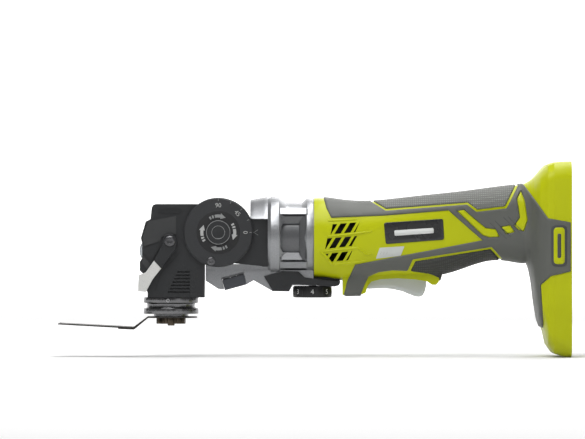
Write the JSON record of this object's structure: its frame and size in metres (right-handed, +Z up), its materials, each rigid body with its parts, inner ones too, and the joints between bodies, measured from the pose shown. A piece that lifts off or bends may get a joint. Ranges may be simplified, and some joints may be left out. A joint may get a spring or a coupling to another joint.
{
  "type": "oscillating multi-tool",
  "caption": "Cordless oscillating multi-tool with a tilting head, speed dial, trigger, tool-free lever clamp and a cutting blade, shown bare of its battery.",
  "frame": {"origin": "centre of the mouth of the battery socket, on the flat battery face", "axes": "+X out of the battery face towards the battery, +Y to the right-hand side of the tool, +Z up; the working head is at the -X end"},
  "size_m": [0.3216, 0.0794, 0.1225],
  "materials": {
    "green_shell": "satin moulded plastic",
    "soft_grip": "dimpled soft rubber",
    "name_plate": "smooth",
    "neck_alloy": "fine metallic grey",
    "dark_shell": "fine moulded texture",
    "disc_plastic": "fine moulded texture",
    "dial_plastic": "ribbed",
    "trigger_plastic": "satin",
    "inner_plastic": "plain moulded",
    "lamp_lens": "frosted clear",
    "collar_alloy": "turned",
    "lever_alloy": "fine metallic grey",
    "steel": "ground",
    "blade_steel": "ground spring steel",
    "bolt_steel": "oiled",
    "screw_steel": "zinc plated, blackened",
    "magnet": "sintered ferrite",
    "carbon": "pressed carbon",
    "contact_brass": "bright",
    "circuit_board": "lacquered",
    "winding_core": "laminated core with copper windings"
  },
  "bodies": {
    "housing": {"badges": "name_plate", "battery_contacts": "contact_brass", "carbon_brushes": "carbon", "chin_panel_left": "dark_shell", "chin_panel_right": "dark_shell", "dust_shield": "dark_shell", "emblem_plates": "name_plate", "front_bearing": "steel", "gear_case": "neck_alloy", "grip_left": "soft_grip", "grip_right": "soft_grip", "housing_left": "green_shell", "housing_right": "green_shell", "housing_screws": "screw_steel", "lock_spring": "steel", "motor_can": "steel", "motor_end_cap": "inner_plastic", "motor_magnets": "magnet", "rear_bearing": "steel", "speed_board": "circuit_board", "switch_body": "inner_plastic", "terminal_block": "inner_plastic", "trigger_pin": "steel", "trigger_spring": "steel", "yoke": "dark_shell", "yoke_screws": "screw_steel"},
    "rotor": {"armature": "winding_core", "commutator": "contact_brass", "rotor_shaft": "steel", "cooling_fan": "inner_plastic", "drive_pinion": "steel"},
    "idler": {"idler_gear": "steel"},
    "dial": {"speed_dial": "dial_plastic"},
    "trigger": {"trigger": "trigger_plastic"},
    "plunger": {"switch_plunger": "trigger_plastic"},
    "lock": {"lock_button": "dark_shell"},
    "head": {"head_case_left": "dark_shell", "head_case_right": "dark_shell", "disc_left": "disc_plastic", "disc_right": "disc_plastic", "pivot_caps": "disc_plastic", "disc_screws": "screw_steel", "head_front_pad": "soft_grip", "light_lens": "lamp_lens", "collar": "collar_alloy", "spindle_bearings": "steel", "shaft_bearings": "steel", "idler_bush": "contact_brass", "lever_screws": "screw_steel"},
    "head_shaft": {"head_pinion": "steel", "eccentric_shaft": "steel", "eccentric_bearing": "steel"},
    "spindle": {"spindle": "steel", "rocker_fork": "steel", "blade": "blade_steel", "clamp_bolt": "bolt_steel"},
    "lever": {"lever_arms": "dark_shell", "lever_bail": "lever_alloy"}
  },
  "joints": [
    {"name": "head_tilt", "type": "hinge", "parent": "housing", "child": "head", "pos_m": [-0.221, 0, -0.0075], "axis": [0, 1, 0], "range_deg": [0, 90]},
    {"name": "tilt_lock_press", "type": "slide", "parent": "housing", "child": "lock", "axis": [-0.266, 0, 0.964], "range_m": [0, 0.0015], "stiffness_N_per_m": 1500, "springref_m": -0.001, "deforming": ["lock_spring"]},
    {"name": "trigger_pull", "type": "hinge", "parent": "housing", "child": "trigger", "pos_m": [-0.1257, 0, -0.03], "axis": [0, -1, 0], "range_deg": [0, 9], "stiffness_Nm_per_rad": 1.2, "springref_deg": -8.59, "deforming": ["trigger_spring"]},
    {"name": "switch_plunger_slide", "type": "slide", "parent": "housing", "child": "plunger", "axis": [0, 0, 1], "range_m": [0, 0.0056]},
    {"name": "speed_dial_turn", "type": "hinge", "parent": "housing", "child": "dial", "pos_m": [-0.162, 0, -0.045], "axis": [0, 0, 1], "range_deg": [-100, 150]},
    {"name": "motor_spin", "type": "hinge", "parent": "housing", "child": "rotor", "pos_m": [-0.15, 0, -0.0075], "axis": [1, 0, 0], "continuous": true},
    {"name": "idler_spin", "type": "hinge", "parent": "housing", "child": "idler", "pos_m": [-0.221, 0.005, -0.0075], "axis": [0, 1, 0], "continuous": true},
    {"name": "head_shaft_spin", "type": "hinge", "parent": "head", "child": "head_shaft", "pos_m": [-0.241, 0, -0.0075], "axis": [1, 0, 0], "continuous": true},
    {"name": "spindle_oscillation", "type": "hinge", "parent": "head", "child": "spindle", "pos_m": [-0.251, 0, -0.0375], "axis": [0, 0, 1], "range_deg": [-1.6, 1.6]},
    {"name": "release_lever_swing", "type": "hinge", "parent": "head", "child": "lever", "pos_m": [-0.2514, 0, -0.0129], "axis": [0, 1, 0], "range_deg": [0, 100]}
  ],
  "couplings": [
    {"joint": "idler_spin", "follows": "motor_spin", "ratio": -0.5},
    {"joint": "head_shaft_spin", "follows": "motor_spin", "ratio": -1},
    {"joint": "switch_plunger_slide", "follows": "trigger_pull", "m_per_rad": 0.0352}
  ]
}
